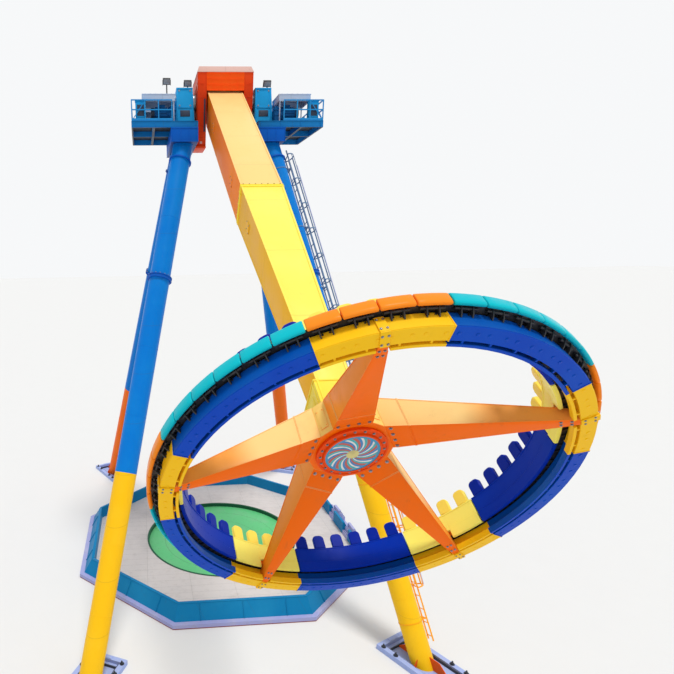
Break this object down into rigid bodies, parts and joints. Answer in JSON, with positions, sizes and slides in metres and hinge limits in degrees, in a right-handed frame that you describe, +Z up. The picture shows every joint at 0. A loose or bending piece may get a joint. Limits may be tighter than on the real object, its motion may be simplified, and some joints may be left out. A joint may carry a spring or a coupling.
{
  "type": "pendulum ride",
  "caption": "Giant fairground pendulum on four splayed tube legs: a long box arm swings a rotating spoked ring of outward-facing seats over an octagonal boarding deck with a pit.",
  "frame": {"origin": "ground level under the pivot, at the middle of the boarding deck's underside", "axes": "+Z up, +X along the pivot axis, the arm swings in the YZ plane and hangs towards -Y at rest"},
  "size_m": [18.2084, 37.8383, 26.9],
  "materials": {
    "blue_paint": "satin",
    "navy_paint": "satin",
    "yellow_paint": "satin",
    "orange_paint": "satin",
    "light_blue_paint": "satin",
    "pale_paint": "satin",
    "lavender_paint": "satin",
    "grating": "satin",
    "teal_plastic": "glossy",
    "orange_plastic": "glossy",
    "blue_plastic": "glossy",
    "yellow_plastic": "glossy",
    "black_steel": "satin",
    "shaft_steel": "satin",
    "deck_grey": "satin",
    "teal_paint": "satin",
    "pit_green": "satin",
    "disc_paint": "satin"
  },
  "bodies": {
    "tower": {"leg_lower_tubes": "yellow_paint", "leg_upper_tubes": "blue_paint", "leg_joint_collars": "blue_paint", "leg_bases": "lavender_paint", "leg_gussets": "orange_paint", "access_ladder": "lavender_paint", "leg_head_blocks": "navy_paint", "platform_frames": "blue_paint", "platform_gratings": "grating", "platform_railings": "light_blue_paint", "head_cheeks": "orange_paint", "head_hood": "orange_paint", "head_cap": "pale_paint", "bearing_housings": "light_blue_paint", "drive_motors": "navy_paint", "canopies": "pale_paint", "floodlights": "black_steel", "deck_floor": "deck_grey", "deck_kerb": "lavender_paint", "deck_parapet": "teal_paint", "deck_steps": "lavender_paint", "pit_floor": "pit_green", "pit_wall": "navy_paint"},
    "arm": {"pivot_shaft": "shaft_steel", "arm_upper": "yellow_paint", "arm_splice": "yellow_paint", "arm_lower": "yellow_paint", "turning_casing": "yellow_paint"},
    "gondola": {"hub": "orange_paint", "hub_plate": "orange_paint", "hub_disc": "disc_paint", "spokes": "orange_paint", "spoke_shoes": "yellow_paint", "ring_beam_yellow": "yellow_paint", "ring_beam_blue": "blue_paint", "back_panels_yellow": "yellow_plastic", "back_panels_blue": "blue_plastic", "seat_shells_teal": "teal_plastic", "seat_shells_orange": "orange_plastic", "headrests_blue": "blue_plastic", "headrests_yellow": "yellow_plastic", "seat_brackets": "black_steel"}
  },
  "joints": [
    {"name": "arm_swing", "type": "hinge", "parent": "tower", "child": "arm", "pos_m": [0, 0, 25.5], "axis": [1, 0, 0], "range_deg": [-2, 122]},
    {"name": "gondola_turn", "type": "hinge", "parent": "arm", "child": "gondola", "pos_m": [0, -20.78461, 13.5], "axis": [0, 0.866, 0.5], "continuous": true}
  ]
}
